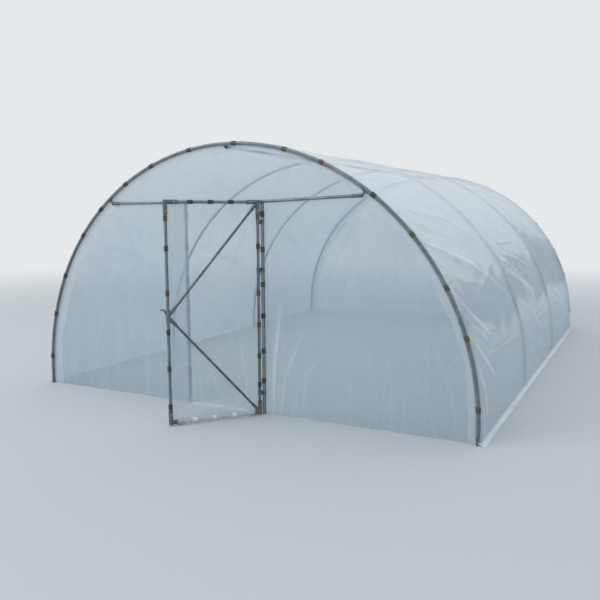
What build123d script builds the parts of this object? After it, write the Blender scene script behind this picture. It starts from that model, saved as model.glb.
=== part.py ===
from build123d import *
import os
from math import atan2, cos, degrees, hypot, pi, radians, sin, sqrt

# Polytunnel greenhouse: galvanised tube hoops under one sheet of clear film, with a
# tube-framed door in the front wall. Millimetres, +Z up, +X to the right and +Y into
# the tunnel. The origin is on the ground, on the tunnel's centre line, in the plane
# of the front hoop.

# Tunnel
hoop_radius = 2440.0  # to the centre of the tube
leg_height = 145.0  # straight foot of a hoop, from the ground to the spring line
bay_length = 2233.0
bay_count = 3

# Tube stock. The hoops and jambs are drawn with eight sides, flat to flat as wide as
# the round tube, and so are what grips a tube and the bores of the leaf's tubes. The
# bent hoops have no bore.
hoop_tube_r = 16.85
rail_tube_r = 13.45
brace_tube_r = 10.65
tube_wall = 2.3
flat_count = 8

# Film, drawn thicker than the real sheet
film_thickness = 2.0
seat_gap = 0.3  # between pieces that bear on each other
cover_panel_names = (
    "cover_right_foot",
    "cover_right_side",
    "cover_right_shoulder",
    "cover_right_crown",
    "cover_left_crown",
    "cover_left_shoulder",
    "cover_left_side",
    "cover_left_foot",
)
cover_end_setback = 5.0  # cover edge behind the centre plane of an end hoop

# Front frame
tie_clearance = 8.0  # tie's centre line above the leaf's top rail
tie_bend_offset = 60.0  # bend of the tie, out from the right-hand jamb
tie_right_rise = 36.0  # right end of the tie above its level part
jamb_left_x = -494.0
jamb_right_x = 386.0
sill_width = 40.0
sill_thickness = 6.0

# Tie bracket: a sleeve on the end of the tie, and a neck from it to a saddle under
# the hoop
bracket_sleeve_r = 16.85
bracket_sleeve_length = 90.0
bracket_heel = 10.0  # solid end of the sleeve, past the tie
bracket_neck_r = 12.0
bracket_neck_length = 45.0
bracket_neck_angle = 45.0  # above level
saddle_thickness = 5.0
saddle_length = 60.0
saddle_wrap = 90.0  # degrees of the tube's section

# Door leaf, measured along the leaf from its hinge stile and up from the ground
hinge_setback = 18.0  # hinge stile inside the jamb's centre line
hinge_offset = 50.0  # hinge stile in front of the jamb's centre line
door_open_angle = 50.0
door_bottom = 30.0
door_top = 2030.0
socket_r = 20.0
socket_length = 110.0
socket_stop = 24.0
brace_socket_r = 15.0
brace_socket_length = 105.0
sleeve_r = 18.0
sleeve_length = 125.0

# Door pull, a flat bar from the sleeve of the braces
pull_reach = 38.0  # from the stile's centre line to the bend
pull_rise = 68.0
pull_tip_length = 28.0
pull_width = 16.0
pull_thickness = 6.0

# Hinges
hinge_strap_height = 40.0
hinge_metal = 4.0
hinge_running_gap = 0.4
hinge_web = 8.0
hinge_band_wrap = 225.0
hinge_notch = 25.0
hinge_notch_clearance = 8.0
collar_r = 19.0
collar_height = 15.0

# Film clips
clip_length = 60.0
clip_thickness = 3.0
clip_wrap = 200.0
clip_end_gap = 5.0  # from the last clip to the fitting or bracket beside it

# Places of what repeats, as shares of the run between the leaf's lower and upper
# sockets, of the hoop from the spring line to a bracket, of its crown from bracket to
# bracket, and of the leaf's width
hinge_shares = (0.022, 0.715, 0.977)
brace_share = 0.485
jamb_clip_shares = (0.091, 0.26, 0.459, 0.634, 0.828, 1.02)
hinge_stile_clip_shares = (0.073, 0.237, 0.412, 0.588, 0.845)
latch_stile_clip_shares = (0.0, 0.208, 0.404, 0.61, 0.845, 1.0)
rail_clip_shares = (0.302, 0.522, 0.742)
right_leg_clip_shares = (0.071, 0.338, 0.538, 0.776, 0.993)
crown_clip_shares = (0.145, 0.277, 0.461, 0.635, 0.802, 0.93)
left_leg_clip_shares = (0.078, 0.311, 0.528, 0.776, 0.956)

# Worked out from the sizes above
tunnel_length = bay_count * bay_length
hoop_places = [bay * bay_length for bay in range(bay_count + 1)]
cover_inner_r = hoop_radius + hoop_tube_r + seat_gap
cover_outer_r = cover_inner_r + film_thickness
ridge_height = leg_height + hoop_radius - hoop_tube_r - seat_gap - rail_tube_r
pane_back = hoop_tube_r + seat_gap
tie_height = door_top + tie_clearance
saddle_back_r = hoop_radius - hoop_tube_r - seat_gap - saddle_thickness / 2
neck_run = bracket_neck_length * cos(radians(bracket_neck_angle))
neck_rise = bracket_neck_length * sin(radians(bracket_neck_angle))
stile_end_run = socket_length + clip_end_gap + clip_length / 2
stile_run = door_top - door_bottom - 2 * stile_end_run
hinge_heights = [door_bottom + stile_end_run + share * stile_run for share in hinge_shares]
brace_height = door_bottom + stile_end_run + brace_share * stile_run
half_side = 180.0 / flat_count
hinge_x = jamb_right_x - hinge_setback
hinge_y = -hinge_offset
leaf_width = hinge_x - jamb_left_x
opening = radians(door_open_angle)
leaf_plane = Plane(
    origin=(hinge_x, hinge_y, 0),
    x_dir=(-cos(opening), -sin(opening), 0),
    z_dir=(-sin(opening), cos(opening), 0),
)
leaf_film_back = socket_r + seat_gap

os.makedirs("parts", exist_ok=True)


def save(builder, name):
    builder.part.label = name
    export_step(builder.part, f"parts/{name}.step")


def flat_sided_band(centre, inner_flat, thickness, facing, wrap):
    """A band with the hoops' flats, centred on the facing angle and open behind it."""
    turns = [-wrap / 2, wrap / 2]
    corners = [half_side * (2 * number + 1) for number in range(flat_count // 2)]
    turns += [sign * corner for corner in corners for sign in (-1, 1) if corner < wrap / 2]
    turns.sort()
    points = []
    for flat, order in ((inner_flat, turns), (inner_flat + thickness, turns[::-1])):
        for turn in order:
            off_flat = (turn + half_side) % (2 * half_side) - half_side
            reach = flat / cos(radians(off_flat))
            angle = radians(facing + turn)
            points.append((centre[0] + reach * cos(angle), centre[1] + reach * sin(angle)))
    with BuildLine() as outline:
        Polyline(*points, close=True)
    make_face(outline.edges())


def flat_sided(flat_r, mode=Mode.ADD):
    """The eight-sided outline, given from its centre to a flat."""
    RegularPolygon(flat_r, flat_count, major_radius=False, rotation=half_side, mode=mode)


def flat_sided_bar(low, high, facing, flat_r, mode=Mode.ADD):
    """Adds or cuts an eight-sided bar between two points, with a flat on the facing side."""
    with BuildSketch(Plane(origin=low, x_dir=facing, z_dir=high - low)) as section:
        flat_sided(flat_r)
    extrude(section.sketch, amount=(high - low).length, mode=mode)


# Hoops: one bent tube each, from the ground over the crown to the ground
hoop_names = ["front_hoop"]
hoop_names += [f"hoop_{number + 1}" for number in range(1, bay_count)]
hoop_names += ["rear_hoop"]
for hoop_name, hoop_y in zip(hoop_names, hoop_places):
    with BuildPart() as hoop:
        with BuildLine(Plane.XZ.offset(-hoop_y)):
            Line((hoop_radius, 0), (hoop_radius, leg_height))
            CenterArc((0, leg_height), hoop_radius, 0, 180)
            Line((-hoop_radius, leg_height), (-hoop_radius, 0))
        with BuildSketch(Plane((hoop_radius, hoop_y, 0))):
            flat_sided(hoop_tube_r)
        sweep()
    save(hoop, hoop_name)

# Ridge pole, bolted up under the crowns of the hoops
with BuildPart() as ridge_pole:
    with BuildSketch(Plane.XZ.offset(hoop_tube_r)):
        with Locations((0, ridge_height)):
            Circle(rail_tube_r)
            Circle(rail_tube_r - tube_wall, mode=Mode.SUBTRACT)
    extrude(amount=-(tunnel_length + 2 * hoop_tube_r))
save(ridge_pole, "ridge_pole")

# Tie bar across the front, which is also the lintel of the doorway. It is level as far
# as the right-hand jamb, and bends up a little beyond it.


def neck_foot(end_height):
    """Where a bracket's neck meets its saddle, from the centre line and the spring line."""
    rise = end_height + neck_rise - leg_height
    return sqrt(saddle_back_r**2 - rise**2), rise


tie_right_height = tie_height + tie_right_rise
left_foot = neck_foot(tie_height)
right_foot = neck_foot(tie_right_height)
tie_left_end = Vector(neck_run - left_foot[0], 0, tie_height)
tie_right_end = Vector(right_foot[0] - neck_run, 0, tie_right_height)
tie_bend = Vector(jamb_right_x + tie_bend_offset, 0, tie_height)
right_way = (tie_bend - tie_right_end).normalized()
tie_start = tie_left_end + Vector(seat_gap, 0, 0)
with BuildPart() as tie_bar:
    with BuildLine():
        Polyline(tie_start, tie_bend, tie_right_end + right_way * seat_gap)
    with BuildSketch(Plane(origin=tie_start, x_dir=(0, 1, 0), z_dir=(1, 0, 0))):
        Circle(rail_tube_r)
        Circle(rail_tube_r - tube_wall, mode=Mode.SUBTRACT)
    sweep(transition=Transition.RIGHT)
save(tie_bar, "tie_bar")

# Brackets that carry the tie's ends. Each is a sleeve with a solid heel, a neck out to
# the hoop and a saddle under it.
saddle_flat = hoop_tube_r + seat_gap
saddle_turn = degrees(saddle_length / hoop_radius)
left_turn = atan2(left_foot[1], left_foot[0])
right_turn = atan2(right_foot[1], right_foot[0])
left_way = Vector(1, 0, 0)
across = Vector(0, 1, 0)
brackets = (
    (-1, tie_left_end, left_way, left_foot, left_turn),
    (1, tie_right_end, right_way, right_foot, right_turn),
)
with BuildPart() as tie_brackets:
    for side, end, way, foot, turn in brackets:
        mouth = end + way * bracket_sleeve_length
        flat_sided_bar(end - way * bracket_heel, mouth, across, bracket_sleeve_r)
        flat_sided_bar(end, Vector(side * foot[0], 0, leg_height + foot[1]), across, bracket_neck_r)
        flat_sided_bar(end, mouth, across, rail_tube_r + seat_gap, Mode.SUBTRACT)
        saddle_start = turn - radians(saddle_turn) / 2
        saddle_plane = Plane(
            origin=(0, 0, leg_height),
            x_dir=(side * cos(saddle_start), 0, sin(saddle_start)),
            z_dir=(side * sin(saddle_start), 0, -cos(saddle_start)),
        )
        with BuildSketch(saddle_plane):
            flat_sided_band((hoop_radius, 0), saddle_flat, saddle_thickness, 180, saddle_wrap)
        revolve(axis=Axis((0, 0, leg_height), (0, -side, 0)), revolution_arc=saddle_turn)
save(tie_brackets, "tie_brackets")

# Jambs, coped under the tie
for side_name, jamb_x in (("left", jamb_left_x), ("right", jamb_right_x)):
    with BuildPart() as jamb:
        with BuildSketch(Plane((jamb_x, 0, 0))):
            flat_sided(hoop_tube_r)
            flat_sided(hoop_tube_r - tube_wall, mode=Mode.SUBTRACT)
        extrude(amount=tie_height)
        with BuildSketch(Plane.YZ.offset(jamb_x - 2 * hoop_tube_r)):
            with Locations((0, tie_height)):
                Circle(rail_tube_r + seat_gap)
                Rectangle(4 * hoop_tube_r, 4 * hoop_tube_r, align=(Align.CENTER, Align.MIN))
        extrude(amount=4 * hoop_tube_r, mode=Mode.SUBTRACT)
    save(jamb, f"jamb_{side_name}")

# Sill, a flat bar on the ground between the jambs
sill_end_left = jamb_left_x + hoop_tube_r + seat_gap
sill_end_right = jamb_right_x - hoop_tube_r - seat_gap
with BuildPart() as sill:
    with BuildSketch():
        with Locations(((sill_end_left + sill_end_right) / 2, 0)):
            Rectangle(sill_end_right - sill_end_left, sill_width)
    extrude(amount=sill_thickness)
save(sill, "door_sill")


wall_r = hoop_radius + hoop_tube_r


def wall_outline():
    """The end wall's outline, out to the outside of the end hoop's tube."""
    with BuildLine() as outline:
        Line((-wall_r, 0), (wall_r, 0))
        Line((wall_r, 0), (wall_r, leg_height))
        CenterArc((0, leg_height), wall_r, 0, 180)
        Line((-wall_r, leg_height), (-wall_r, 0))
    make_face(outline.edges())


ridge_notch = 2 * (rail_tube_r + seat_gap)
ridge_notch_low = ridge_height - rail_tube_r - seat_gap
notch_height = leg_height + wall_r - ridge_notch_low

# Front wall, in three sheets round the doorway, behind the tubes of the front frame
front_sheets = (
    ("front_film_left", -wall_r, jamb_left_x, 0.0, tie_height),
    ("front_film_right", jamb_right_x, wall_r, 0.0, tie_height),
    ("front_film_top", -wall_r, wall_r, tie_height, leg_height + wall_r),
)
for sheet_name, low_x, high_x, low_z, high_z in front_sheets:
    with BuildPart() as sheet:
        with BuildSketch(Plane.XZ.offset(-pane_back)):
            wall_outline()
            with Locations((low_x, low_z)):
                Rectangle(high_x - low_x, high_z - low_z, align=Align.MIN, mode=Mode.INTERSECT)
            with Locations((0, ridge_notch_low)):
                Rectangle(ridge_notch, notch_height, align=(Align.CENTER, Align.MIN), mode=Mode.SUBTRACT)
        extrude(amount=-film_thickness)
    save(sheet, sheet_name)

# Rear wall, one sheet
with BuildPart() as rear_film:
    with BuildSketch(Plane.XZ.offset(pane_back - tunnel_length)):
        wall_outline()
        with Locations((0, ridge_notch_low)):
            Rectangle(ridge_notch, notch_height, align=(Align.CENTER, Align.MIN), mode=Mode.SUBTRACT)
    extrude(amount=film_thickness)
save(rear_film, "rear_film")

# Cover, one sheet over the hoops, in strips that meet edge to edge
cover_step = 180.0 / len(cover_panel_names)
for number, panel_name in enumerate(cover_panel_names):
    low_angle = number * cover_step
    with BuildPart() as panel:
        with BuildSketch(Plane.XZ.offset(-cover_end_setback)):
            with BuildLine():
                inner = CenterArc((0, leg_height), cover_inner_r, low_angle, cover_step)
                outer = CenterArc((0, leg_height), cover_outer_r, low_angle, cover_step)
                Line(inner @ 0, outer @ 0)
                Line(inner @ 1, outer @ 1)
            make_face()
            if number in (0, len(cover_panel_names) - 1):
                side = 1 if number == 0 else -1
                with Locations((side * (cover_inner_r + film_thickness / 2), leg_height / 2)):
                    Rectangle(film_thickness, leg_height)
        extrude(amount=-(tunnel_length - 2 * cover_end_setback))
    save(panel, panel_name)

# Hinge straps: a band sprung on the jamb and an eye that the leaf's stile turns in
eye_inner_r = rail_tube_r + hinge_running_gap
band_inner_r = hoop_tube_r + seat_gap
hinge_reach = hypot(hinge_setback, hinge_offset)
hinge_direction = degrees(atan2(-hinge_offset, -hinge_setback))
band_facing = 2 * half_side * round(hinge_direction / (2 * half_side)) - hinge_direction
with BuildPart() as hinge_straps:
    for height in hinge_heights:
        strap_plane = Plane(
            origin=(jamb_right_x, 0, height - hinge_strap_height / 2),
            x_dir=(cos(radians(hinge_direction)), sin(radians(hinge_direction)), 0),
            z_dir=(0, 0, 1),
        )
        with BuildSketch(strap_plane):
            web_start = band_inner_r + hinge_metal / 2
            with Locations((web_start, 0)):
                Rectangle(hinge_reach - web_start, hinge_web, align=(Align.MIN, Align.CENTER))
            with Locations((hinge_reach, 0)):
                flat_sided(eye_inner_r + hinge_metal)
                Circle(eye_inner_r, mode=Mode.SUBTRACT)
            flat_sided_band((0, 0), band_inner_r, hinge_metal, band_facing, hinge_band_wrap)
        extrude(amount=hinge_strap_height)
save(hinge_straps, "hinge_straps")

# Door leaf: stiles and rails of tube, socketed into corner fittings
with BuildPart() as hinge_stile:
    with BuildSketch(Plane((hinge_x, hinge_y, door_bottom + socket_stop + seat_gap))):
        Circle(rail_tube_r)
        flat_sided(rail_tube_r - tube_wall, mode=Mode.SUBTRACT)
    extrude(amount=door_top - door_bottom - 2 * (socket_stop + seat_gap))
save(hinge_stile, "door_hinge_stile")


def leaf_point(along, up, inward=0.0):
    """A point of the leaf in the tunnel's own frame."""
    return leaf_plane.from_local_coords(Vector(along, up, inward))


def leaf_tube(start, end, outer_r):
    """Adds a straight tube between two points of the leaf."""
    low = leaf_point(*start)
    high = leaf_point(*end)
    with BuildSketch(Plane(origin=low, z_dir=high - low)) as section:
        Circle(outer_r)
        flat_sided(outer_r - tube_wall, mode=Mode.SUBTRACT)
    extrude(section.sketch, amount=(high - low).length)


def leaf_socket(start, end, flat_r, mode=Mode.ADD):
    """Adds or cuts an eight-sided bar between two points of the leaf."""
    flat_sided_bar(leaf_point(*start), leaf_point(*end), leaf_plane.z_dir, flat_r, mode)


def along_leaf(corner, towards, distance):
    """The point at a distance from a corner of the leaf, towards another point of it."""
    run = hypot(towards[0] - corner[0], towards[1] - corner[1])
    share = distance / run
    return (corner[0] + (towards[0] - corner[0]) * share, corner[1] + (towards[1] - corner[1]) * share)


tube_end = socket_stop + seat_gap
with BuildPart() as latch_stile:
    leaf_tube((leaf_width, door_bottom + tube_end), (leaf_width, door_top - tube_end), rail_tube_r)
save(latch_stile, "door_latch_stile")

for rail_name, rail_height in (("door_bottom_rail", door_bottom), ("door_top_rail", door_top)):
    with BuildPart() as rail:
        leaf_tube((tube_end, rail_height), (leaf_width - tube_end, rail_height), rail_tube_r)
    save(rail, rail_name)

# The brace: two tubes from the hinge side's corners to a fitting half way up the latch stile
brace_node = (leaf_width, brace_height)
top_corner = (0.0, door_top)
bottom_corner = (0.0, door_bottom)
for brace_name, corner in (("door_upper_brace", top_corner), ("door_lower_brace", bottom_corner)):
    with BuildPart() as brace:
        leaf_tube(
            along_leaf(corner, brace_node, brace_socket_length / 2 + seat_gap),
            along_leaf(brace_node, corner, brace_socket_length / 2 + seat_gap),
            brace_tube_r,
        )
    save(brace, brace_name)

# Fittings of the leaf: a socketed corner at each end of the stiles, with a third socket
# where a brace comes in, and a sleeve with two oblique sockets half way up the latch stile
rail_bore = rail_tube_r + seat_gap
brace_bore = brace_tube_r + seat_gap
brace_stop = brace_socket_length / 2
sleeve_low = (leaf_width, brace_height - sleeve_length / 2)
sleeve_high = (leaf_width, brace_height + sleeve_length / 2)
sockets = [(sleeve_low, sleeve_high, sleeve_r)]
bores = [(sleeve_low, sleeve_high, rail_bore)]
for along in (0.0, leaf_width):
    for height, far_height in ((door_bottom, door_top), (door_top, door_bottom)):
        corner = (along, height)
        stile_end = (along, far_height)
        rail_end = (leaf_width - along, height)
        stile_mouth = along_leaf(corner, stile_end, socket_length)
        rail_mouth = along_leaf(corner, rail_end, socket_length)
        sockets.append((along_leaf(corner, stile_end, -socket_r), stile_mouth, socket_r))
        sockets.append((corner, rail_mouth, socket_r))
        bores.append((along_leaf(corner, stile_end, socket_stop), stile_mouth, rail_bore))
        bores.append((along_leaf(corner, rail_end, socket_stop), rail_mouth, rail_bore))
for corner in (top_corner, bottom_corner):
    for root, end in ((corner, brace_node), (brace_node, corner)):
        brace_mouth = along_leaf(root, end, brace_socket_length)
        sockets.append((root, brace_mouth, brace_socket_r))
        bores.append((along_leaf(root, end, brace_stop), brace_mouth, brace_bore))
with BuildPart() as fittings:
    for start, end, flat_r in sockets:
        leaf_socket(start, end, flat_r)
    for start, end, flat_r in bores:
        leaf_socket(start, end, flat_r, mode=Mode.SUBTRACT)
save(fittings, "door_fittings")

# Door pull: a flat bar that leans out from the sleeve, turned level at its tip
pull_bend = (leaf_width + pull_reach, brace_height + pull_rise)
with BuildPart() as door_pull:
    with BuildSketch(leaf_plane.offset(-pull_thickness / 2)):
        with BuildLine():
            Polyline(brace_node, pull_bend, (pull_bend[0] + pull_tip_length, pull_bend[1]))
        trace(line_width=pull_width)
    extrude(amount=pull_thickness)
    leaf_socket(sleeve_low, sleeve_high, sleeve_r + seat_gap, mode=Mode.SUBTRACT)
save(door_pull, "door_pull")

# Collar on the hinge stile, which bears on the lowest eye and carries the leaf
with BuildPart() as hinge_collar:
    collar_low = hinge_heights[0] + hinge_strap_height / 2 + seat_gap
    with BuildSketch(Plane((hinge_x, hinge_y, collar_low))):
        flat_sided(collar_r)
        flat_sided(rail_bore, mode=Mode.SUBTRACT)
    extrude(amount=collar_height)
save(hinge_collar, "hinge_collar")

# Leaf film behind the fittings, cut away where the hinge straps turn
with BuildPart() as door_film:
    with BuildSketch(leaf_plane.offset(leaf_film_back)):
        with Locations((0, door_bottom)):
            Rectangle(leaf_width, door_top - door_bottom, align=Align.MIN)
        for height in hinge_heights:
            with Locations((0, height)):
                Rectangle(
                    2 * hinge_notch,
                    hinge_strap_height + 2 * hinge_notch_clearance,
                    mode=Mode.SUBTRACT,
                )
    extrude(amount=film_thickness)
save(door_film, "door_film")


def clip_on(plane, tube_r):
    """Adds one open-backed clip round a tube whose axis is the plane's normal."""
    with BuildSketch(plane.offset(-clip_length / 2)) as section:
        flat_sided_band((0, 0), tube_r + seat_gap, clip_thickness, 0, clip_wrap)
    extrude(section.sketch, amount=clip_length)


# Film clips round the front hoop, clear of the saddles of the tie's brackets
saddle_clear = (saddle_length / 2 + clip_end_gap + clip_length / 2) / hoop_radius
crown_low = right_turn + saddle_clear
crown_run = pi - left_turn - right_turn - 2 * saddle_clear
clip_turns = [share * (right_turn - saddle_clear) for share in right_leg_clip_shares]
clip_turns += [crown_low + share * crown_run for share in crown_clip_shares]
clip_turns += [pi - share * (left_turn - saddle_clear) for share in left_leg_clip_shares]
with BuildPart() as hoop_clips:
    for turn in clip_turns:
        centre = (hoop_radius * cos(turn), 0, leg_height + hoop_radius * sin(turn))
        clip_on(Plane(origin=centre, x_dir=(0, -1, 0), z_dir=(-sin(turn), 0, cos(turn))), hoop_tube_r)
save(hoop_clips, "front_hoop_clips")

# Film clips on the jambs
with BuildPart() as jamb_clips:
    for jamb_x in (jamb_left_x, jamb_right_x):
        for share in jamb_clip_shares:
            height = door_bottom + stile_end_run + share * stile_run
            clip_on(Plane(origin=(jamb_x, 0, height), x_dir=(0, -1, 0), z_dir=(0, 0, 1)), hoop_tube_r)
save(jamb_clips, "jamb_clips")

# Film clips on the leaf's stiles and rails
with BuildPart() as leaf_clips:
    outward = -leaf_plane.z_dir
    for along, shares in ((0.0, hinge_stile_clip_shares), (leaf_width, latch_stile_clip_shares)):
        for share in shares:
            height = door_bottom + stile_end_run + share * stile_run
            clip_on(Plane(origin=leaf_point(along, height), x_dir=outward, z_dir=(0, 0, 1)), rail_tube_r)
    for height in (door_bottom, door_top):
        for share in rail_clip_shares:
            centre = leaf_point(share * leaf_width, height)
            clip_on(Plane(origin=centre, x_dir=outward, z_dir=leaf_plane.x_dir), rail_tube_r)
save(leaf_clips, "door_clips")
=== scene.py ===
from functools import partial
from math import atan2, cos, pi, radians, sin, sqrt

import bmesh
import bpy
import numpy as np
from mathutils import Euler, Matrix, Vector


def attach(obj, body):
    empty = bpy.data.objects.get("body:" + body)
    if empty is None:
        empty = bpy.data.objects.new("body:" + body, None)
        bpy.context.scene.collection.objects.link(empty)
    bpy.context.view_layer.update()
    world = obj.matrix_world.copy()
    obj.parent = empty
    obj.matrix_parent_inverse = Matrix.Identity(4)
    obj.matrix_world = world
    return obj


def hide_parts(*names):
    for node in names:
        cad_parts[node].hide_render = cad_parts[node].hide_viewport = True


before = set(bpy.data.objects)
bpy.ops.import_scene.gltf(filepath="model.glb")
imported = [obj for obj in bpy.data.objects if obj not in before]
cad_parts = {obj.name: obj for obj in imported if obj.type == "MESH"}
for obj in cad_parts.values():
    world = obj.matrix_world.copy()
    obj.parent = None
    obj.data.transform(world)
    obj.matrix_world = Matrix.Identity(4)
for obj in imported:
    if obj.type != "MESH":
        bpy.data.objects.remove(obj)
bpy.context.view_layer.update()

# Hoops: four lengths of 33.7 mm water pipe, each bent to a half circle on two short straight
# feet. They are hot-dip galvanised, which leaves the zinc dull and mottled. The front one has
# weathered most. Those under the film are lighter: partly zinc kept bright out of the weather,
# partly painted light for the pale look of the film stretched over them.
hoop_radius = 2.440
foot_height = 0.145
hoop_pitch = 2.233
hoop_tube = 0.01685
hoop_length = 2 * foot_height + pi * hoop_radius
hoop_steps = 220
hoop_nodes = ("front_hoop", "hoop_2", "hoop_3", "rear_hoop")
hoop_rows = [number * hoop_pitch for number in range(len(hoop_nodes))]
along_tunnel = Vector((0, 1, 0))
upward = Vector((0, 0, 1))


def linear(code):
    """An sRGB hex colour as the linear colour that the shaders take."""
    channels = [int(code[place : place + 2], 16) / 255 for place in (1, 3, 5)]
    return (*[c / 12.92 if c <= 0.04045 else ((c + 0.055) / 1.055) ** 2.4 for c in channels], 1.0)


def add_node(tree, kind, inputs=None, **settings):
    """Adds a node with its settings. An input takes a value, or a link from a socket or from
    the first output that another node has in use."""
    node = tree.nodes.new("ShaderNode" + kind)
    for name, value in settings.items():
        setattr(node, name, value)
    for name, value in (inputs or {}).items():
        if isinstance(value, bpy.types.Node):
            value = next(socket for socket in value.outputs if socket.enabled)
        if isinstance(value, bpy.types.NodeSocket):
            tree.links.new(value, node.inputs[name])
        else:
            node.inputs[name].default_value = value
    return node


def new_material(name):
    """A node material, what adds a node to it, and the object's coordinates in metres."""
    material = bpy.data.materials.new(name)
    material.use_nodes = True
    material.node_tree.nodes.clear()
    add = partial(add_node, material.node_tree)
    return material, add, add("TexCoord").outputs["Object"]


def galvanised(name, zinc, bloom, spangle, roughness):
    """Hot-dip galvanised steel: zinc grains of one size, under patches of pale bloom."""
    material, add, place = new_material(name)
    patch_size, pit_size = 0.110, 0.003
    grain = add("TexVoronoi", {"Vector": place, "Scale": 1 / spangle}).outputs["Color"]
    grain_light = add("MapRange", {"Value": grain, "To Min": 0.86, "To Max": 1.08})
    cloud = add("TexNoise", {"Vector": place, "Scale": 1 / patch_size, "Detail": 5.0, "Roughness": 0.62})
    patch = add("MapRange", {"Value": cloud, "From Min": 0.46, "From Max": 0.66})
    skin = add("Mix", {"Factor": patch, "A": linear(zinc), "B": linear(bloom)}, data_type="RGBA")
    tone = add("VectorMath", {0: skin, "Scale": grain_light}, operation="SCALE")
    dullness = add("MapRange", {"Value": cloud, "To Min": roughness - 0.08, "To Max": roughness + 0.14})
    pits = add("TexNoise", {"Vector": place, "Scale": 1 / pit_size, "Detail": 2.0})
    bump = add("Bump", {"Height": pits, "Strength": 0.25, "Distance": 0.0003})
    looks = {"Base Color": tone, "Metallic": 0.85, "Roughness": dullness, "Normal": bump}
    add("OutputMaterial", {"Surface": add("BsdfPrincipled", looks)})
    return material


def settle_mesh(mesh, merge=0.0):
    """Sets a mesh's normals, once the points that lie within the merge are made one."""
    form = bmesh.new()
    form.from_mesh(mesh)
    if merge:
        bmesh.ops.remove_doubles(form, verts=form.verts, dist=merge)
    bmesh.ops.recalc_face_normals(form, faces=form.faces)
    form.to_mesh(mesh)
    form.free()


def joined_mesh(name, shells):
    """One mesh from closed or open shells, each a list of points and one of faces."""
    mesh = bpy.data.meshes.new(name)
    verts, faces = [], []
    for shell_verts, shell_faces in shells:
        start = len(verts)
        verts += [tuple(v) for v in shell_verts]
        faces += [tuple(start + corner for corner in face) for face in shell_faces]
    mesh.from_pydata(verts, [], faces)
    settle_mesh(mesh)
    return mesh


def place_object(name, data):
    """A mesh, lamp or camera put in the scene."""
    thing = bpy.data.objects.new(name, data)
    bpy.context.scene.collection.objects.link(thing)
    return thing


def make_piece(name, shells, materials, body, smooth=40, finishes=None):
    """One piece from shells, which rides on a body. The finishes are the number of each
    shell's material, or of each of its faces'."""
    mesh = joined_mesh(name, shells)
    looks = []
    for number, (_, shell_faces) in enumerate(shells):
        finish = finishes[number] if finishes else 0
        looks += finish if isinstance(finish, list) else [finish] * len(shell_faces)
    for material in materials:
        mesh.materials.append(material)
    mesh.polygons.foreach_set("material_index", looks)
    mesh.shade_smooth()
    if smooth < 180:
        mesh.set_sharp_from_angle(angle=radians(smooth))
    piece = place_object(name, mesh)
    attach(piece, body)
    return piece


def ring_faces(rings, count, closed=False):
    """Faces between rings of points, and from the last ring to the first where it closes."""
    faces = []
    for ring in range(rings if closed else rings - 1):
        low, high = ring * count, (ring + 1) % rings * count
        for corner in range(count):
            near = (corner + 1) % count
            faces.append((low + corner, low + near, high + near, high + corner))
    return faces


def sweep(path, section):
    """A closed section carried along a path of (centre, out, side, size) stations."""
    verts = []
    for centre, out, side, size in path:
        verts += [centre + out * (a * size) + side * (b * size) for a, b in section]
    count = len(section)
    caps = [tuple(range(count)), tuple(range(len(verts) - count, len(verts)))]
    return verts, caps + ring_faces(len(path), count)


def straight(start, way, out, marks, section):
    """A section carried straight from a start, with a size at each distance from it."""
    return sweep([(start + way * place, out, way.cross(out), size) for place, size in marks], section)


def arc(radius, turns):
    """Points of a circle at some turns."""
    return [(radius * cos(turn), radius * sin(turn)) for turn in turns]


def ring_section(radius, count=28):
    """A round section."""
    return arc(radius, [2 * pi * i / count for i in range(count)])


def hoop_frame(run, row):
    """Centre and outward direction of a hoop's tube, at a run along it from its right foot."""
    turn = min(max((run - foot_height) / hoop_radius, 0.0), pi)
    leg = max(foot_height - run, run + foot_height - hoop_length, 0.0)
    out = Vector((cos(turn), 0, sin(turn)))
    return Vector((0, row, foot_height - leg)) + out * hoop_radius, out


hoop_zinc = galvanised("galvanised_hoop_tube", "#6C6E6E", "#8B8C8A", 0.011, 0.50)
# Lighter zinc for the hoops under the film: partly zinc kept bright, partly painted light.
sheltered_and_lightened_zinc = galvanised("galvanised_sheltered_lightened_tube", "#A6A9AA", "#BDBFBF", 0.011, 0.50)
for node, row in zip(hoop_nodes, hoop_rows):
    runs = [hoop_length * step / hoop_steps for step in range(hoop_steps + 1)]
    path = [(*hoop_frame(run, row), along_tunnel, 1.0) for run in runs]
    zinc = sheltered_and_lightened_zinc if row else hoop_zinc
    hoop = make_piece(f"bent_{node}", [sweep(path, ring_section(hoop_tube))], [zinc], "tunnel")
    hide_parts(node)

# Ridge pole and tie bar: straight 26.9 mm tube of the same galvanised stock. The pole is
# bolted up under the crowns, and the tie crosses the front above the doorway.
rail_tube = 0.01345
tie_height = 2.038
rail_zinc = galvanised("galvanised_rail_tube", "#7C8083", "#9A9D9F", 0.009, 0.50)


def dress_node(node, material):
    """Gives a carried-over node of the frame its finish."""
    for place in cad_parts[node].material_slots:
        place.material = material


for node in ("ridge_pole", "tie_bar"):
    dress_node(node, rail_zinc)

# Bolts of the ridge pole: steel with a thin, bright zinc plating, which is smoother than
# dipped zinc. One goes through each hoop's crown, from below.
bolt_zinc = galvanised("zinc_plated_bolt", "#9A9A92", "#B0AF9F", 0.004, 0.34)


def bolt(head, axis, width, length):
    """A hexagon bolt's stem, washer and head, from the place where the head bears."""
    axis = axis.normalized()
    out = axis.orthogonal().normalized()
    hexagon = ((0, 0.94), (width * 0.08, 1.0), (width * 0.56, 1.0), (width * 0.66, 0.88))
    return [
        straight(head, axis, out, ((-length, 0.5), (0, 0.5)), ring_section(width * 0.5, 12)),
        straight(head, axis, out, ((-0.0004, 1.0), (0.0012, 1.0)), ring_section(width * 0.98, 20)),
        straight(head, axis, out, hexagon, ring_section(width * 0.58, 6)),
    ]


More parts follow.
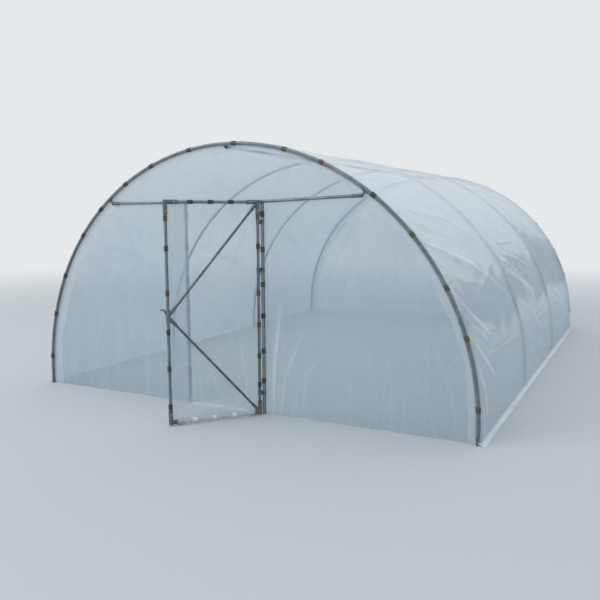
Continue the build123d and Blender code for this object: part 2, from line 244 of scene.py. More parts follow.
ridge_low = foot_height + hoop_radius - hoop_tube - 2 * rail_tube - 0.0003
shells = []
for row in hoop_rows:
    shells += bolt(Vector((0, row, ridge_low)), -upward, 0.013, 0.02)
ridge_bolts = make_piece("ridge_bolts", shells, [bolt_zinc], "tunnel", 30)

# Tie brackets: malleable iron castings, dipped after casting. A sleeve holds the end of
# the tie with a set screw, and its neck ends in a saddle bolted under the hoop.
tie_ends = {-1: Vector((-1.43555, 0, 2.038)), 1: Vector((1.38700, 0, 2.074))}
tie_bend = Vector((0.446, 0, 2.038))
bracket_sleeve = 0.01675
bracket_sleeve_length = 0.090
bracket_heel = 0.010
bracket_neck = 0.012
neck_length = 0.045
neck_angle = radians(45)
saddle_metal = 0.005
saddle_length = 0.060
casting = galvanised("galvanised_casting", "#6E7376", "#878C8F", 0.006, 0.55)


def band(inner, outer, wrap, steps=20):
    """A band's section, centred on the first axis and open at the back."""
    turns = [radians(-wrap / 2 + wrap * step / steps) for step in range(steps + 1)]
    return arc(inner, turns) + arc(outer, turns[::-1])


def socket_shell(low, high, facing, radius, bead=1.1):
    """A round socket from one point to another, with a bead round its mouth."""
    run = (high - low).normalized()
    length = (high - low).length
    marks = ((0, 1.0), (length - 0.014, 1.0), (length - 0.011, bead), (length - 0.002, bead), (length, 1.04))
    return straight(low, run, facing, marks, ring_section(radius, 36))


def bore_shell(low, high, facing, radius):
    """The hole that a tube takes in a socket, open at its mouth."""
    run = (high - low).normalized()
    path = [(point, facing, run.cross(facing), 1.0) for point in (low, high + run * 0.01)]
    return sweep(path, ring_section(radius, 32))


def cast_shell(name, bodies, holes):
    """Bodies run together as one casting with soft corners, then bored."""
    blank, drill = [
        place_object(part, joined_mesh(part, part_shells))
        for part, part_shells in ((name, bodies), (f"{name}_holes", holes))
    ]
    for kind, settings in (
        ("REMESH", {"mode": "VOXEL", "voxel_size": 0.0018}),
        ("SMOOTH", {"factor": 0.5, "iterations": 4}),
        ("DECIMATE", {"ratio": 0.35}),
        ("BOOLEAN", {"operation": "DIFFERENCE", "solver": "EXACT", "use_self": True, "object": drill}),
    ):
        step = blank.modifiers.new(kind.lower(), kind)
        for setting, value in settings.items():
            setattr(step, setting, value)
    bpy.context.view_layer.update()
    made = bpy.data.meshes.new_from_object(blank.evaluated_get(bpy.context.evaluated_depsgraph_get()))
    bpy.data.objects.remove(blank)
    bpy.data.objects.remove(drill)
    return [v.co.copy() for v in made.vertices], [tuple(face.vertices) for face in made.polygons]


castings, screws = [], []
for side, end in tie_ends.items():
    way = (tie_bend - end).normalized() if side > 0 else Vector((1, 0, 0))
    mouth = end + way * bracket_sleeve_length
    foot = end + Vector((side * cos(neck_angle), 0, sin(neck_angle))) * neck_length
    turn = atan2(foot.z - foot_height, side * foot.x)
    middle = foot_height + hoop_radius * (turn if side > 0 else pi - turn)
    neck = [(end, along_tunnel, upward, 1.25), (foot, along_tunnel, upward, 1.0)]
    saddle = []
    for step in range(11):
        centre, out = hoop_frame(middle + saddle_length * (step / 10 - 0.5), 0.0)
        saddle.append((centre, -out, along_tunnel, 1.0))
    bodies = [
        socket_shell(end - way * bracket_heel, mouth, along_tunnel, bracket_sleeve, 1.05),
        sweep(neck, ring_section(bracket_neck, 32)),
        sweep(saddle, band(hoop_tube + 0.0010, hoop_tube + 0.0010 + saddle_metal, 96)),
    ]
    holes = [bore_shell(end, mouth, along_tunnel, rail_tube + 0.0005)]
    castings.append(cast_shell("tie_bracket", bodies, holes))
    screws += bolt(end + way * 0.062 - along_tunnel * (bracket_sleeve - 0.0006), -along_tunnel, 0.010, 0.004)
    for reach in (-0.021, 0.021):
        spot, away = hoop_frame(middle + reach, 0.0)
        screws += bolt(spot - away * (hoop_tube + saddle_metal + 0.0012), -away, 0.009, 0.006)
tie_brackets = make_piece("cast_tie_brackets", castings, [casting], "tunnel", 50)
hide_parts("tie_brackets")
bracket_screws = make_piece("tie_bracket_screws", screws, [bolt_zinc], "tunnel", 30)

# Jambs: 33.7 mm galvanised tube, driven into the ground beside the doorway. Their tops
# are coped to sit under the tie, to which they are welded.
jamb_places = {"jamb_left": -0.494, "jamb_right": 0.386}
jamb_wall = 0.0023
jamb_sides = 32
jamb_levels = (0.0, 0.5, 1.0, 1.5, 1.9, "top")
jamb_zinc = galvanised("galvanised_jamb_tube", "#6F7273", "#8D8F8E", 0.011, 0.50)
for node, jamb_x in jamb_places.items():
    verts = []
    for radius, levels in ((hoop_tube, jamb_levels), (hoop_tube - jamb_wall, jamb_levels[::-1])):
        for level in levels:
            for x, y in ring_section(radius, jamb_sides):
                cope = tie_height - sqrt(max((rail_tube + 0.0003) ** 2 - y * y, 0.0))
                verts.append((jamb_x + x, y, cope if level == "top" else level))
    tube = (verts, ring_faces(2 * len(jamb_levels), jamb_sides, closed=True))
    jamb = make_piece(f"coped_{node}", [tube], [jamb_zinc], "tunnel")
    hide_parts(node)

# End walls: blown polyethylene film, 0.2 mm thick and a little milky. One sheet is cut to
# each end hoop. The front one is wrapped round the jambs and the tie beside the doorway.
film_lift = hoop_tube + 0.0009
wall_plane = 0.0186
wall_reach = hoop_radius + hoop_tube
doorway = (jamb_places["jamb_left"], jamb_places["jamb_right"])
chance = np.random.default_rng(7)


def film_material(name, tint, thin, thick, haze, drawn):
    """Blown film: clear where it is seen square on, milky and bright at a low angle.

    It was drawn out along one axis, so its ripples are long that way. Along the crests that
    a mesh marks on its creases, it is denser and painted whiter, a painted highlight. Where
    a mesh marks painted brightening, it is painted whiter and hardly denser."""
    material, add, place = new_material(name)
    cloud_size, streak_size, ripple_size = 0.9, 0.11, 0.09
    cloud = add("TexNoise", {"Vector": place, "Scale": 1 / cloud_size, "Detail": 3.0, "Roughness": 0.55})
    along = add("Mapping", {"Vector": place, "Scale": drawn})
    streak = add("TexNoise", {"Vector": along, "Scale": 1 / streak_size, "Detail": 4.0, "Roughness": 0.55})
    facing = add("LayerWeight", {"Blend": 0.45}).outputs["Facing"]
    by_angle = {"Value": facing, "From Min": 0.05, "From Max": 0.85, "To Min": thin, "To Max": thick}
    density = add("MapRange", by_angle, interpolation_type="SMOOTHSTEP")
    for pattern, change in ((cloud, 0.12), (streak, 0.1)):
        spread = {"From Min": 0.3, "From Max": 0.7, "To Min": 1 - change, "To Max": 1 + change}
        uneven = add("MapRange", {"Value": pattern, **spread})
        density = add("Math", {0: density, 1: uneven}, operation="MULTIPLY")
    crest, painted_brightening = [
        add("Attribute", attribute_name=mark).outputs["Fac"] for mark in ("gathered_and_highlit", "painted_brightening")
    ]
    cover = add("Math", {0: crest, 1: 0.7, 2: density}, operation="MULTIPLY_ADD", use_clamp=True)
    # Both marks mix the colour towards near white: a painted highlight along the crests, and painted light
    # where the film is marked brighter.
    white = add("Math", {0: crest, 1: painted_brightening}, operation="MAXIMUM")
    colour, haze_colour = [
        add("Mix", {"Factor": white, "A": linear(shade), "B": linear("#F4F7F9")}, data_type="RGBA")
        for shade in (tint, haze)
    ]
    ripple = add("TexNoise", {"Vector": along, "Scale": 1 / ripple_size, "Detail": 2.0})
    bump = add("Bump", {"Height": ripple, "Strength": 0.16, "Distance": 0.002})
    gloss = {"Roughness": 0.2, "IOR": 1.51, "Specular IOR Level": 0.9}
    coat = {"Coat Weight": 0.7, "Coat Roughness": 0.07}
    skin = add("BsdfPrincipled", {"Base Color": colour, "Normal": bump, **gloss, **coat})
    glow = add("BsdfTranslucent", {"Color": haze_colour})
    milk = add("MixShader", {"Fac": 0.48, 1: skin, 2: glow})
    film = add("MixShader", {"Fac": cover, 1: add("BsdfTransparent"), 2: milk})
    add("OutputMaterial", {"Surface": film})
    return material


def creases(across, along, lines):
    """The relief of tension creases, soft ridges that fade at their ends, and a share on their
    crests, up to 1, that the film makes denser and paints whiter, a painted highlight. Each is
    a line, its width and its height."""
    relief, gathered_and_highlit = np.zeros(across.shape), np.zeros(across.shape)
    for line, width, height in lines:
        nearest, reach = np.full(across.shape, 1e9), np.zeros(across.shape)
        lengths = [np.hypot(b[0] - a[0], b[1] - a[1]) for a, b in zip(line, line[1:])]
        done = 0.0
        for (ax, ay), (bx, by), length in zip(line, line[1:], lengths):
            share = np.clip(((across - ax) * (bx - ax) + (along - ay) * (by - ay)) / length**2, 0, 1)
            gap = np.hypot(across - ax - share * (bx - ax), along - ay - share * (by - ay))
            closer = gap < nearest
            reach = np.where(closer, (done + share * length) / sum(lengths), reach)
            nearest = np.where(closer, gap, nearest)
            done += length
        fade = np.clip(np.sin(pi * reach), 0, 1) ** 0.6
        spread = width * (0.6 + 0.8 * reach)
        crest = fade * np.exp(-((nearest / (0.32 * spread + 0.009)) ** 2))
        relief += height * fade * np.exp(-np.sqrt(nearest**2 + (0.2 * spread) ** 2) / spread)
        gathered_and_highlit = np.maximum(gathered_and_highlit, crest * min(height / 0.028, 1.0) ** 1.5)
    return relief, gathered_and_highlit


def mark_film(piece, name, shares):
    """Stores a share at each point of a film, for its material. Points past the last have 0."""
    values = np.zeros(len(piece.data.vertices), dtype=np.float32)
    values[: np.size(shares)] = np.ravel(shares)
    piece.data.attributes.new(name, "FLOAT", "POINT").data.foreach_set("value", values)


def paint_light_above(piece, brighten_from, most, elsewhere=0.0):
    """Marks a share that rises towards the crown, where the film is painted whiter: painted light on its
    upper part.
    """
    heights = np.array([point.co.z for point in piece.data.vertices])
    shares = most * np.clip((heights - brighten_from) / (2.55 - brighten_from), 0, 1) ** 1.6
    mark_film(piece, "painted_brightening", np.maximum(shares, elsewhere))


def grid_faces(rows, columns):
    """Faces of a grid of points, row by row."""
    corners = [row * columns + column for row in range(rows - 1) for column in range(columns - 1)]
    return [(low, low + 1, low + columns + 1, low + columns) for low in corners]


def wrap_shell(places, turns, spot):
    """Film turned round a tube: the points that spot gives at places along it and turns."""
    return [spot(place, turn) for place in places for turn in turns], grid_faces(len(places), len(turns))


def wall_top(x):
    """Height of the end wall's edge at places across it."""
    return foot_height + np.sqrt(np.clip(wall_reach**2 - x * x, 0.0, None))


def set_creases(rows):
    """Creases from rows of a width and a height in mm and the places they run through."""
    return [(line, width / 1000, height / 1000) for width, height, *line in rows]


def pulls_from_edge(count, reach):
    """Short creases that run in from the clips along the hoop."""
    folds = []
    for step in range(count):
        turn = pi * (step + 0.5 + chance.uniform(-0.3, 0.3)) / count
        root = np.array([cos(turn), sin(turn)]) * (hoop_radius - 0.01)
        aim = turn + pi + chance.uniform(-0.5, 0.5)
        tip = root + np.array([cos(aim), sin(aim)]) * reach * chance.uniform(0.5, 1.4)
        line = [(root[0], root[1] + foot_height), (tip[0], tip[1] + foot_height)]
        folds.append((line, chance.uniform(0.010, 0.024), chance.uniform(0.003, 0.008)))
    return folds


def hanging_folds(spans, count, lift):
    """Folds that run up from the ground between two places across the wall."""
    folds = []
    for low, high in spans:
        for _ in range(count):
            foot = chance.uniform(low, high)
            rise = chance.uniform(0.4, lift)
            lean = chance.uniform(-0.12, 0.12)
            line = [(foot, -0.15), (foot + lean * 0.3, rise * 0.5), (foot + lean, rise)]
            folds.append((line, chance.uniform(0.014, 0.040), chance.uniform(0.003, 0.008)))
    return folds


def wall_sheet(name, row, inward, opening, folds, films):
    """One end wall's sheet. With an opening, it wraps round the tubes beside it."""
    low_x, high_x = doorway
    shares = []
    middle = np.linspace(low_x, high_x, 64)[1:-1]
    left = -wall_reach * np.cos(np.linspace(0, np.arccos(-low_x / wall_reach), 176))
    right = wall_reach * np.cos(np.linspace(np.arccos(high_x / wall_reach), 0, 182))

    def block(xs, low_z, count, high_z=9.0):
        """A sheet between two heights, or up to the hoop, settled onto what holds it."""
        x = np.tile(np.array(xs), (count, 1))
        z = low_z + np.linspace(0, 1, count)[:, None] * (np.minimum(wall_top(x[0]), high_z) - low_z)
        rim = np.minimum(wall_top(x) - z, wall_reach - np.abs(x))
        hold = np.clip((rim - 0.05) / 0.10, 0, 1)
        if opening:
            above = np.clip((z - tie_height) / 0.1, 0, 1)
            for place in doorway:
                hold = np.minimum(hold, np.clip(np.abs(x - place) / 0.09 + above, 0, 1))
            hold = np.minimum(hold, np.clip(np.abs(z - tie_height) / 0.09, 0, 1))
        relief, gathered_and_highlit = creases(x, z, folds)
        hang = 0.007 * np.sin(x * 9.0 + 1.5 * np.sin(z * 1.7)) * np.clip(1 - z / 2.3, 0, 1)
        sway = 0.005 * np.sin(x * 23.0 + 2.0 * np.sin(z * 2.3 + 1)) * np.clip(1 - z / 1.1, 0, 1) ** 1.5
        off = row + inward * (wall_plane + np.clip(relief + hang + sway, 0, None) * hold)
        shares.extend((gathered_and_highlit * hold).ravel())
        return list(zip(x.ravel(), off.ravel(), z.ravel())), grid_faces(count, len(xs))

    if opening:
        over = [x for x in (*left, *middle, *right) if wall_top(x) > tie_height]
        shells = [block(xs, 0.0, 96, tie_height) for xs in (left, right)] + [block(over, tie_height, 34)]
        wraps = [radians(turn) for turn in range(0, 241, 20)]
        for jamb_x, way in ((low_x, 1), (high_x, -1)):

            def round_jamb(z, turn):
                lift = film_lift + 0.0006 * sin(z * 31 + turn * 2)
                return jamb_x + way * lift * sin(turn), row + inward * lift * cos(turn), z

            shells.append(wrap_shell(np.linspace(0.0, tie_height - 0.03, 60), wraps, round_jamb))

        def round_tie(x, turn):
            lift = rail_tube + 0.0012
            return x, row + inward * lift * cos(turn), tie_height - lift * sin(turn)

        shells.append(wrap_shell(np.linspace(low_x + 0.025, high_x - 0.025, 40), wraps, round_tie))
    else:
        shells = [block((*left, *middle, *right), 0.0, 110)]
    looks = [0, 0, 0, 1, 1, 1][: len(shells)]
    sheet = make_piece(name, shells, films, "tunnel", 180, looks)
    mark_film(sheet, "gathered_and_highlit", shares)
    paint_light_above(sheet, 1.0, 0.62)
    settle_mesh(sheet.data, 0.0004)
    return sheet


folded_film = film_material("polyethylene_folded_film", "#D0D9DF", 0.58, 0.92, "#E6EDF1", (1.0, 0.5, 0.5))
wall_film = film_material("polyethylene_wall_film", "#A3B8C6", 0.56, 0.90, "#C4D3DD", (1.0, 1.0, 0.22))
front_folds = pulls_from_edge(40, 0.28)
front_folds += hanging_folds(((-2.3, -0.56), (0.46, 2.3)), 12, 1.4)
front_rows = [
    (20, 24, (0.47, -0.20), (0.49, 0.5), (0.56, 1.1)),
    (18, 18, (0.53, -0.20), (0.60, 0.35), (0.80, 0.85)),
    (20, 8, (0.64, -0.15), (0.74, 0.30), (1.05, 0.70)),
    (20, 14, (-0.58, -0.20), (-0.60, 0.6), (-0.70, 1.3)),
    (18, 8, (-0.66, -0.20), (-0.75, 0.4), (-0.98, 0.85)),
    (24, 8, (2.30, -0.20), (2.20, 0.4), (1.96, 1.05)),
    (20, 6, (2.12, -0.20), (2.00, 0.3), (1.80, 0.75)),
    (16, 10, (-1.06, -0.20), (-1.07, 0.3), (-1.02, 0.68)),
    (22, 7, (-2.30, -0.20), (-2.16, 0.4), (-1.90, 1.00)),
    (22, 10, (1.40, 1.98), (1.15, 1.55), (1.02, 1.05)),
    (22, 10, (-1.44, 1.98), (-1.20, 1.60), (-1.12, 1.15)),
    (18, 10, (0.50, 2.00), (0.62, 1.75), (0.90, 1.50)),
]
front_folds += set_creases(front_rows)
front_wall = wall_sheet("front_wall_film", 0.0, 1, True, front_folds, [wall_film, folded_film])
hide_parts("front_film_left", "front_film_right", "front_film_top")
rear_folds = pulls_from_edge(40, 0.28) + hanging_folds(((-2.3, 2.3),), 26, 1.5)
rear_wall = wall_sheet("rear_wall_film", hoop_rows[-1], -1, False, rear_folds, [wall_film])
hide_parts("rear_film")

# Sill: a flat galvanised bar on the ground between the jambs. The film is turned round it
# in several layers, which lie white on the metal.
sill_wrap, add, place = new_material("film_wrapped_flat_bar")
layers = add("TexNoise", {"Vector": place, "Scale": 1 / 0.025, "Detail": 4.0, "Distortion": 0.8})
skin = add("Mix", {"Factor": layers, "A": linear("#E2E8EB"), "B": linear("#FAFBFC")}, data_type="RGBA")
wrinkle = add("Bump", {"Height": layers, "Strength": 0.6, "Distance": 0.003})
looks = {"Base Color": skin, "Roughness": 0.28, "IOR": 1.51, "Normal": wrinkle}
add("OutputMaterial", {"Surface": add("BsdfPrincipled", looks)})
dress_node("door_sill", sill_wrap)

# Cover: one sheet of the same film over all the hoops. Its ends are turned in round the end
# hoops and lie doubled on the end walls, and its long edges flare out on the ground. It is
# pulled tight, which creases it from clip to clip.
skirt = 0.034
cover_film = film_material("polyethylene_cover_film", "#AEC2D0", 0.34, 0.80, "#D0DDE7", (1.0, 0.22, 1.0))
bunched_film = film_material("polyethylene_bunched_film", "#EEF2F4", 0.96, 0.99, "#F2F5F7", (1.0, 0.7, 0.7))
hoop_clip_angles = (3.7, 17.8, 28.3, 40.8, 52.2, 65.8, 75.1, 88.0)
hoop_clip_angles += (100.2, 111.9, 120.9, 131.1, 140.3, 153.0, 164.1, 176.0)


def cover_spot(angle, y):
    """A place on the cover: the run up from the right-hand foot, and y."""
    return (foot_height + radians(angle) * hoop_radius, y)


def far_side(line):
    """The same line on the left-hand side."""
    return [(hoop_length - run, y) for run, y in line]


right_pulls = [
    (72, 40, (38.9, -0.02), (36.4, 0.44), (31.5, 1.127), (26.5, 1.60), (22.0, 1.95)),
    (26, 16, (34.8, 0.02), (31.0, 0.25), (26.7, 0.55)),
    (56, 30, (27.6, 0.00), (26.2, 0.09), (21.5, 0.323), (15.5, 0.82)),
    (34, 20, (24.0, 0.00), (19.6, 0.26), (13.5, 0.72)),
    (52, 32, (18.9, -0.02), (14.1, 0.236), (6.5, 0.70)),
    (85, 44, (17.4, -0.03), (10.4, 0.05), (1.0, 0.22)),
    (26, 20, (8.0, -0.03), (3.0, 0.06), (-3.0, 0.16)),
    (24, 14, (12.2, 0.30), (11.9, 1.08), (11.3, 2.05)),
    (45, 14, (48.8, 0.10), (45.7, 1.27), (39.5, 1.95)),
    (60, 32, (34.6, 2.50), (33.1, 2.778), (29.2, 3.396), (23.6, 4.25)),
    (55, 32, (31.0, 2.40), (29.8, 2.632), (26.3, 2.871), (21.6, 3.25)),
    (55, 30, (27.4, 2.36), (24.5, 2.85), (19.1, 3.60)),
    (22, 10, (35.8, 2.50), (35.5, 3.681), (35.0, 4.40)),
    (46, 22, (22.0, 2.30), (15.5, 2.85), (7.5, 3.60)),
    (30, 18, (17.0, 2.25), (9.5, 2.50), (1.0, 2.85)),
    (24, 12, (12.8, 2.50), (11.9, 3.30), (11.0, 4.25)),
    (36, 20, (30.0, 4.55), (25.5, 5.20), (20.0, 6.15)),
    (34, 18, (24.5, 4.52), (18.0, 5.05), (11.0, 5.80)),
    (30, 16, (15.0, 4.50), (8.5, 4.80), (1.0, 5.25)),
    (26, 12, (33.5, 4.60), (32.0, 5.50), (29.0, 6.50)),
]
left_pulls = [
    (46, 24, (37.5, 0.0), (33.0, 0.8), (25.0, 1.85)),
    (42, 22, (27.0, 0.0), (20.5, 0.40), (13.0, 0.95)),
    (42, 24, (16.5, -0.02), (9.0, 0.12), (1.5, 0.34)),
    (46, 22, (33.5, 2.40), (28.0, 3.10), (21.0, 4.10)),
    (46, 18, (22.5, 2.35), (15.0, 2.90), (7.0, 3.60)),
    (46, 18, (29.5, 4.55), (22.5, 5.30), (17.0, 6.30)),
    (42, 16, (14.0, 4.50), (8.0, 4.95), (1.5, 5.50)),
]
pulls = []
for side, lines in enumerate((right_pulls, left_pulls)):
    for line, width, height in set_creases(lines):
        line = [cover_spot(*spot) for spot in line]
        pulls.append((far_side(line) if side else line, width, height))
slack = np.random.default_rng(23)
for side in (0, 1):
    for row in hoop_rows[:-1]:
        for _ in range(13):
            high = slack.uniform(6, 60)
            drop = slack.uniform(4, 13)
            start = row + slack.uniform(0.0, 0.3)
            finish = min(start + slack.uniform(0.4, 1.7), row + hoop_pitch)
            line = [cover_spot(high, start), cover_spot(high - drop, finish)]
            if slack.random() < 0.3:
                line = [(run, 2 * row + hoop_pitch - y) for run, y in line]
            size = slack.uniform(0.014, 0.034) * (1.4 if side else 1.0)
            pulls.append((far_side(line) if side else line, size, slack.uniform(0.004, 0.011)))
        for _ in range(5):
            level = slack.uniform(64, 116)
            start = row + slack.uniform(0.1, 0.6)
            end = (level + slack.uniform(-3, 3), start + slack.uniform(0.7, 1.4))
            line = [cover_spot(level, start), cover_spot(*end)]
            pulls.append((line, slack.uniform(0.05, 0.08), slack.uniform(0.003, 0.007)))
for angle in hoop_clip_angles:
    for row, inward in ((0.0, 1), (hoop_rows[-1], -1)):
        for fan in (-55, -20, 25, 60):
            reach = slack.uniform(0.12, 0.34)
            root = cover_spot(angle, row)
            tip = (root[0] + reach * sin(radians(fan)), row + inward * reach * cos(radians(fan)))
            wide = 0.045 if 60 < angle < 120 else 0.024
            pulls.append(([root, tip], wide, slack.uniform(0.004, 0.009)))

# The cover's stations: lift off the tubes' axis and y, from the front lap to the rear one.
lap = [(-0.105, 0.0168), (-0.085, 0.0167), (-0.066, 0.0166), (-0.048, 0.0163), (-0.034, 0.0135)]
for turn in (172, 150, 128, 106, 84, 62, 40, 20, 0):
    lap.append((film_lift * cos(radians(turn)), -film_lift * sin(radians(turn))))
rear_lap = [(lift, hoop_rows[-1] - y) for lift, y in reversed(lap)]
bays = []
for row, steps in zip(hoop_rows, (120, 96, 76)):
    bays += [(film_lift, row + hoop_pitch * step / steps) for step in range(1, steps + 1)]
bays.pop()
stations = np.array(lap + bays + rear_lap)
side_run = foot_height + radians(52) * hoop_radius
flare = [skirt * share for share in (0.15, 0.4, 0.7, 1)]
runs = np.concatenate(
    [
        [-run for run in reversed(flare)],
        [0.012],
        np.linspace(0.03, side_run, 176)[:-1],
        np.linspace(side_run, hoop_length - side_run, 45)[:-1],
        np.linspace(hoop_length - side_run, hoop_length - 0.03, 80),
        [hoop_length - 0.012],
        [hoop_length + run for run in flare],
    ]
)
run, y = np.meshgrid(runs, stations[:, 1])
lift = np.repeat(stations[:, :1], len(runs), axis=1)
in_bays = np.zeros_like(run)
in_bays[len(lap) : len(lap) + len(bays)] = 1.0
share = np.mod(y / hoop_pitch, 1.0)
held = np.clip(np.minimum(share, 1 - share) * hoop_pitch / 0.05, 0, 1) ** 0.8 * in_bays
held[:, np.abs(runs - hoop_length / 2) < 0.12] *= 0.3
crown = np.sin(pi * np.clip((run - foot_height) / (pi * hoop_radius), 0, 1))
sag = (0.010 + 0.018 * np.sin(pi * crown)) * np.sin(pi * share) ** 0.9 * in_bays
low = np.minimum(run, hoop_length - run)
ground = np.clip(low / 0.35, 0, 1)
relief, gathered_and_highlit = creases(run, y, pulls)
wave = 0.0022 * np.sin(run * 17 + 3 * np.sin(y * 2.1)) * np.sin(y * 5.3 + 2)
lift = lift + (np.minimum(relief, 0.055) + wave) * held * (0.5 + 0.5 * ground) - sag * ground

# The lap's cut edge wanders on the end walls. It is wider on the left and narrow at the
# crown. The long edges turn out over the last 90 mm and lie wavy on the ground.
lap_edge = np.clip((-stations[:, :1] - 0.04) / 0.065, 0, 1) * (1 - in_bays)
left_side = np.clip((run - hoop_length / 2) / 1.5, -1, 1)
wander = 0.004 + 0.026 * left_side + 0.012 * np.sin(run * 6.5) + 0.007 * np.sin(run * 15 + 1.3)
lift = lift - lap_edge * wander
lift = lift + lap_edge * 0.038 * np.exp(-(((run - hoop_length / 2) / 0.8) ** 2))
beyond = np.clip(-low, 0, None)
lift = lift + 0.020 * (np.clip(0.09 - np.clip(low, 0, None), 0, None) / 0.09) ** 2
lift = lift + beyond * (0.86 + 0.10 * np.sin(y * 6.1) + 0.08 * np.sin(y * 15.7 + 1))
turn = np.clip((run - foot_height) / hoop_radius, 0, pi)
leg = np.clip(np.maximum(foot_height - run, run - hoop_length + foot_height), 0, foot_height)
x = np.cos(turn) * (hoop_radius + lift)
z = foot_height - leg + np.sin(turn) * (hoop_radius + lift)
tucked = np.clip(0.010 - beyond * 0.22 + 0.0012 * np.sin(y * 7.3 + run * 20), 0.0015, None)
z = np.where(beyond > 0, tucked, np.where(low < 0.03, np.maximum(z, 0.010), z))
folded = stations[:, 0] < -0.03
# The edges on the ground take the near-white bunched film: partly its layers, partly painted light that
# brightens an edge lying in shade.
on_ground = np.minimum(runs, hoop_length - runs) < 0.035
doubled, bunched = (folded[:-1] & folded[1:])[:, None], on_ground[:-1] & on_ground[1:]
finishes = np.where(doubled, 1, np.where(bunched, 2, 0)).ravel().tolist()
shell = (list(zip(x.ravel(), y.ravel(), z.ravel())), grid_faces(len(stations), len(runs)))
cover = make_piece("cover_film", [shell], [cover_film, folded_film, bunched_film], "tunnel", 180, [finishes])
mark_film(cover, "gathered_and_highlit", gathered_and_highlit * held)
# The doubled laps are painted whiter as well, painted light on them.
lap_brightening = np.where(folded, 0.6, 0.0)
paint_light_above(cover, 1.1, 0.35, np.repeat(lap_brightening, len(runs)))
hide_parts(*[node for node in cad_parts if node.startswith("cover_")])

# Film clips: short open-backed lengths of plastic pipe, snapped over the film and the
# tube. They are offcuts of several colours, sawn to about 50 mm.
clip_length = 0.050
clip_wall = 0.0030
clip_stations = ((-0.5, 0.985), (-0.485, 1.0), (-0.2, 1.0), (0.2, 1.0), (0.485, 1.0), (0.5, 0.985))
clip_colours = {"brown": "#44352A", "olive": "#4F4B29", "rust": "#5A4026"}
clip_colours |= {"dark": "#2E2D28", "grey": "#737A7C", "white": "#DDE3E6"}


def moulded_clip(name, colour):
    """Extruded PVC pipe, scuffed along its length and dusty."""
    material, add, place = new_material(name)
    dust = add("TexNoise", {"Vector": place, "Scale": 1 / 0.03, "Detail": 4.0})
    faded = add("MapRange", {"Value": dust, "From Min": 0.45, "From Max": 0.8, "To Min": 0.0, "To Max": 0.3})
    skin = add("Mix", {"Factor": faded, "A": linear(colour), "B": linear("#7A7264")}, data_type="RGBA")
    scuff = add("TexNoise", {"Vector": place, "Scale": 1 / 0.004, "Detail": 2.0})
    bump = add("Bump", {"Height": scuff, "Strength": 0.3, "Distance": 0.0004})
    looks = {"Base Color": skin, "Roughness": 0.48, "IOR": 1.53, "Normal": bump}
    add("OutputMaterial", {"Surface": add("BsdfPrincipled", looks)})
    return material


clip_plastics = [moulded_clip(f"pvc_clip_{name}", colour) for name, colour in clip_colours.items()]


def clip_section(tube):
    """An open-backed band with its two lips rolled a little outwards."""
    inner = tube + 0.0014
    outer = inner + clip_wall
    turns = [radians(-96 + 192 * step / 22) for step in range(23)]
    lip = radians(101)
    up_lip = [(r * cos(lip), r * sin(lip)) for r in (inner + clip_wall * 0.85, outer + 0.0014)]
    down_lip = [(x, -y) for x, y in reversed(up_lip)]
    return arc(inner, turns) + up_lip + arc(outer, turns[::-1]) + down_lip


def straight_clip(tube, centre, way, out):
    """One clip on a straight tube, with its sawn ends eased."""
    marks = [(clip_length * share, size) for share, size in clip_stations]
    return straight(centre, way, out, marks, clip_section(tube))


def hoop_clips(row, out_of_end):
    """Clips along an end hoop, facing out of that end of the tunnel."""
    shells = []
    for angle in hoop_clip_angles:
        path = []
        for share, size in clip_stations:
            run = foot_height + radians(angle) * hoop_radius + clip_length * share
            centre, out = hoop_frame(run, row)
            path.append((centre, along_tunnel * out_of_end, out, size))
        shells.append(sweep(path, clip_section(hoop_tube)))
    return shells


looks = [2, 1, 2, 1, 3, 2, 1, 0, 3, 0, 0, 3, 0, 3, 0, 0]
front_clips = make_piece("front_hoop_pipe_clips", hoop_clips(0.0, -1), clip_plastics, "tunnel", 35, looks)
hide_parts("front_hoop_clips")
looks = [0, 2, 3, 1, 0, 0, 2, 3, 1, 1, 0, 2, 3, 0, 1, 3]
shells = hoop_clips(hoop_rows[-1], 1)
rear_clips = make_piece("rear_hoop_pipe_clips", shells, clip_plastics, "tunnel", 35, looks)
shells = [
    straight_clip(hoop_tube, Vector((jamb_x, 0, height)), upward, -along_tunnel)
    for jamb_x in doorway
    for height in (0.330, 0.620, 0.960, 1.258, 1.591, 1.919)
]
looks = [4, 4, 4, 4, 4, 4, 0, 0, 3, 0, 1, 1]
jamb_clips = make_piece("jamb_pipe_clips", shells, clip_plastics, "tunnel", 35, looks)
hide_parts("jamb_clips")

# Strap hinges: three bands sprung on the right-hand jamb. Each is one piece of 40 x 4 mm
# bar, rolled round the jamb, doubled into a web with a bolt, and rolled to an eye.
hinge_post = Vector((jamb_places["jamb_right"], 0, 0))
hinge_axis = Vector((0.368, -0.050, 0))
hinge_metal = 0.004
hinge_height = 0.040
hinge_levels = (0.2126, 1.3977, 1.8457)
hinge_stations = ((-0.5, 0.985), (-0.475, 1.0), (0.475, 1.0), (0.5, 0.985))
band_inner = hoop_tube + 0.0012
eye_inner = rail_tube + 0.0004
eye_sides = 32
strap_zinc = galvanised("galvanised_strap", "#6E7274", "#8F9292", 0.008, 0.5)


def rounded_bar(width, height, radius, steps=3):
    """A rectangular section with rounded corners."""
    section = []
    for number, (x, y) in enumerate(((1, 1), (-1, 1), (-1, -1), (1, -1))):
        turns = [pi / 2 * (number + step / steps) for step in range(steps + 1)]
        centre_x, centre_y = x * (width / 2 - radius), y * (height / 2 - radius)
        section += [(centre_x + a, centre_y + b) for a, b in arc(radius, turns)]
    return section


